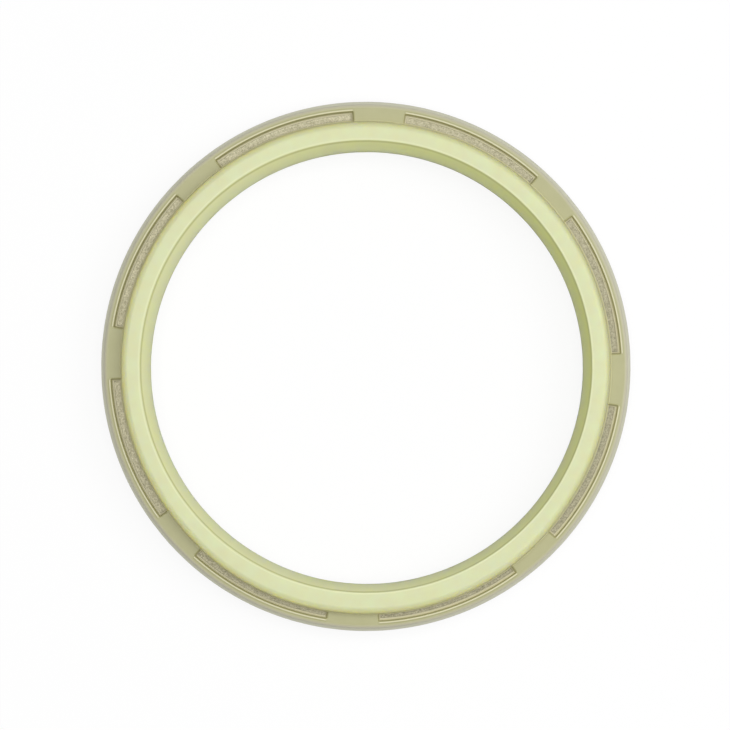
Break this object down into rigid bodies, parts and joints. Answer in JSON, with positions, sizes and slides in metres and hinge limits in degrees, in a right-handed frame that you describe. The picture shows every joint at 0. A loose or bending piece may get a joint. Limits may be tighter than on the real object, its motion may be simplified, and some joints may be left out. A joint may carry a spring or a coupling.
{
  "type": "hydraulic rod wiper seal",
  "caption": "Ring-shaped rod wiper: a pale polyurethane body with a dust lip and an oil lip, moulded round a pressed steel case that shows through arc-shaped windows in its shoulder.",
  "frame": {"origin": "centre of the base, on the axis of the rod bore, at the face that seats in the housing", "axes": "+Z along the rod axis towards the dust lip and the air side; +X and +Y across the ring, as right and up in the picture"},
  "size_m": [0.084, 0.084, 0.011],
  "materials": {
    "steel": "satin",
    "polyurethane": "satin"
  },
  "bodies": {
    "root": {"steel_case": "steel", "wiper_body": "polyurethane"}
  },
  "joints": []
}
